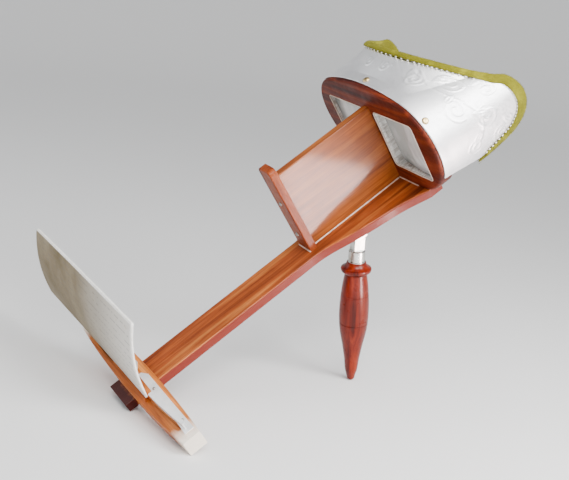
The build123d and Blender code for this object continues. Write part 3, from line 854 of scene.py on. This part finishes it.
def arc_points(a, b, c, count):
    """Evenly turned points of the arc from a through b to c."""
    centre, radius = circle_through(a, b, c)
    first = math.atan2(a[1] - centre.y, a[0] - centre.x)
    turn = math.atan2(c[1] - centre.y, c[0] - centre.x) - first
    turn = (turn + math.pi) % (2 * math.pi) - math.pi
    return [
        (centre.x + radius * math.cos(first + turn * i / (count - 1)),
         centre.y + radius * math.sin(first + turn * i / (count - 1)))
        for i in range(count)
    ]


def build_card():
    """Warped card with softened corners: two faces of aged paper and a pale, thick edge."""
    long_steps, tall_steps = 150, 44
    foot_y, foot_z = CARD_FOOT
    middle, left = CARD_RIGHT - CARD_LENGTH / 2, CARD_RIGHT - CARD_LENGTH
    path = arc_points((CARD_RIGHT, foot_y), (middle, foot_y - 0.3), (left, foot_y - 1.2), long_steps)
    section = arc_points((0, 0), (4.6, 22.0), (CARD_LEAN, 48.0), tall_steps)
    height = 51.5
    corner = 2.2
    faces_points = [[], []]
    for i, (x, y) in enumerate(path):
        from_end = min(i, long_steps - 1 - i) / (long_steps - 1) * CARD_LENGTH
        for j, (lean, rise) in enumerate(section):
            from_edge = min(j, tall_steps - 1 - j) / (tall_steps - 1) * height
            pull = 0.0
            if from_end < corner and from_edge < corner:
                pull = max(0.0, math.hypot(corner - from_end, corner - from_edge) - corner)
            wave = 0.12 * noise.noise(Vector((x * 0.03, rise * 0.06, 2)))
            along = -1 if i < long_steps / 2 else 1
            inward = Vector((along, 0, -1 if j > tall_steps / 2 else 1)).normalized()
            place = Vector((x, y + lean + wave, foot_z + rise)) + inward * pull
            faces_points[0].append(place)
            faces_points[1].append(place + Vector((0, CARD_THICKNESS, -0.25 * lean / CARD_LEAN)))
    points = faces_points[0] + faces_points[1]
    back = len(faces_points[0])
    faces = grid_faces(long_steps, tall_steps) + grid_faces(long_steps, tall_steps, back, flip=True)
    slots = [0] * len(faces)
    across = tall_steps - 1
    for index in range((long_steps - 1) * across):
        if index < 2 * across or index % across == across - 1:
            slots[index] = slots[index + (long_steps - 1) * across] = 1
    border = (
        [i * tall_steps for i in range(long_steps)]
        + [(long_steps - 1) * tall_steps + j for j in range(1, tall_steps)]
        + [i * tall_steps + tall_steps - 1 for i in range(long_steps - 2, -1, -1)]
        + [j for j in range(tall_steps - 2, 0, -1)]
    )
    for a, b in zip(border, border[1:] + border[:1]):
        faces.append([a, b, b + back, a + back])
        slots.append(1)
    new_piece(
        "card_warped", points, faces, "card", [paper, card_edge], slots,
        stands_for=("stereo_card",),
    )


def build_lines(name, paths, radius, material, loop=False):
    """Thin round lines laid along paths of points, such as varnish in a corner or a pale bead round a window.
    """
    points, faces = [], []
    sides = 8
    for path in paths:
        start = len(points)
        for index, here in enumerate(path):
            before = path[index - 1] if loop or index else here
            after = path[(index + 1) % len(path)] if loop or index + 1 < len(path) else here
            ahead = (after - before).normalized()
            across = ahead.orthogonal().normalized()
            if abs(ahead.y) < 0.9:
                across = ahead.cross(Vector((0, 1, 0))).normalized()
            up = across.cross(ahead)
            for side in range(sides):
                angle = 2 * math.pi * side / sides
                thick = radius * (1 + 0.12 * noise.noise(here * 0.4))
                points.append(here + (across * math.cos(angle) + up * math.sin(angle)) * thick)
        faces += grid_faces(len(path), sides, start, close_rows=loop, close_columns=True)
        if not loop:
            faces.append([start + i for i in range(sides)][::-1])
            faces.append([start + (len(path) - 1) * sides + i for i in range(sides)])
    new_piece(name, points, faces, "frame", [material])


def window_path(side, y, grow):
    """Rounded rectangle round one window."""
    corner = 2.5
    low_x, high_x = WINDOW_X[0] - grow, WINDOW_X[1] + grow
    low_z, high_z = WINDOW_Z[0] - grow, WINDOW_Z[1] + grow
    path = []
    for centre_x, centre_z, first in (
        (high_x - corner, high_z - corner, 0), (low_x + corner, high_z - corner, 90),
        (low_x + corner, low_z + corner, 180), (high_x - corner, low_z + corner, 270),
    ):
        for step in range(7):
            angle = math.radians(first + 15 * step)
            x = centre_x + corner * math.cos(angle)
            path.append(Vector((side * x, y, centre_z + corner * math.sin(angle))))
    return path


def straight(first, last, count=30):
    """Evenly spaced points from first to last."""
    return [Vector(first).lerp(Vector(last), step / (count - 1)) for step in range(count)]


build_hood()
# a pale bead round each lens window
build_lines(
    "window_edges", [window_path(side, y=0.1, grow=0.1) for side in (-1, 1)],
    0.4, pale_bead, loop=True,
)
build_lines(
    "varnish_corners",
    [straight((side * 3.1, -79, 0.1), (side * 3.1, -1, 0.1)) for side in (-1, 1)]
    + [straight((-24, -0.1, 0.1), (24, -0.1, 0.1)), straight((-7.4, -80.5, 0.1), (7.4, -80.5, 0.1))],
    0.55, glue,
)
build_binding()
build_pile()
build_stitches()
build_card()


# ---- floor, light and camera ----
def build_stage():
    """Pale floor, flat round the viewer and rising gently far behind it."""
    around, rings = 96, [(0.0, 0.0), (0.6, 0.0), (1.4, 0.0), (2.5, 0.0)]
    rings += [(2.5 + 3.5 * step / 12, 3.0 * (step / 12) ** 2) for step in range(1, 13)]
    points = []
    for reach, height in rings:
        for step in range(around):
            angle = 2 * math.pi * step / around
            points.append((reach * math.cos(angle), reach * math.sin(angle), height))
    faces = [[a, d, c, b] for a, b, c, d in grid_faces(len(rings), around, close_columns=True)]
    mesh = bpy.data.meshes.new("floor")
    mesh.from_pydata(points, [], faces)
    mesh.polygons.foreach_set("use_smooth", [True] * len(faces))
    floor = new_object("floor", mesh)
    material, tree, principled = new_material("floor_pale", Roughness=0.85, Specular_IOR_Level=0.2)
    principled.inputs["Base Color"].default_value = (0.80, 0.80, 0.80, 1)
    mesh.materials.append(material)


def area_light(name, at, target, size, power, colour=(1, 1, 1)):
    """Square area light at a point of the CAD frame, facing another."""
    light = bpy.data.lights.new(name, "AREA")
    light.shape = "SQUARE"
    light.size = size
    light.energy = power
    light.color = colour
    holder = new_object(name, light)
    holder.location = at
    holder.rotation_euler = (Vector(target) - Vector(at)).to_track_quat("-Z", "Y").to_euler()
    return holder


def sky_light(power):
    """Broad even light from above, the same over the whole floor."""
    light = bpy.data.lights.new("sky", "SUN")
    light.energy = power
    light.angle = math.radians(70)
    holder = new_object("sky", light)
    holder.rotation_euler = (math.radians(8), math.radians(24), 0)


def build_camera():
    """Camera of the photograph's viewing angle, placed in viewer axes."""
    width, height, focal, sensor = 569, 480, 1063.7, 36.0
    principal = (299.9, 235.1)
    place = Vector((550.28, -242.58, 380.33))
    look = Vector((-0.80586, 0.23919, -0.54165))
    up = Vector((-0.31791, 0.59696, 0.73659))
    right_side = look.cross(up).normalized()
    turn = Matrix((right_side, right_side.cross(look), -look)).transposed()
    data = bpy.data.cameras.new("camera")
    data.sensor_fit = "HORIZONTAL"
    data.sensor_width = sensor
    data.lens = focal / width * sensor
    data.shift_x = (width / 2 - principal[0]) / width
    data.shift_y = (principal[1] - height / 2) / width
    data.clip_start = 0.01
    camera = new_object("camera", data)
    world_turn = viewer_matrix.to_3x3().normalized() @ turn
    camera.matrix_world = Matrix.Translation(viewer_matrix @ place) @ world_turn.to_4x4()
    bpy.context.scene.camera = camera


def build_world():
    """Even pale surroundings."""
    world = bpy.data.worlds.new("surroundings")
    world.use_nodes = True
    world.node_tree.nodes["Background"].inputs["Color"].default_value = (0.92, 0.94, 0.97, 1)
    world.node_tree.nodes["Background"].inputs["Strength"].default_value = 0.26
    bpy.context.scene.world = world


build_stage()
build_world()
build_camera()
area_light("key", (0.85, -0.35, 0.75), (0.0, 0.0, 0.12), 0.45, 12, (1.0, 0.98, 0.95))
area_light("fill", (-0.7, -0.9, 0.6), (0.0, 0.0, 0.1), 0.9, 4, (0.94, 0.97, 1.0))
sky_light(1.7)
area_light("side", viewer_matrix @ Vector((430, 260, 170)), viewer_matrix @ Vector((40, 30, 50)), 0.35, 6)
# seen only in reflections: the shine on the septum
glare_at, septum_at = viewer_matrix @ Vector((213, 10, -114)), viewer_matrix @ Vector((3, -60, 22))
glare = area_light("glare", glare_at, septum_at, 0.08, 1.0, (1.0, 0.80, 0.78))
glare.visible_diffuse = glare.visible_camera = glare.visible_transmission = False
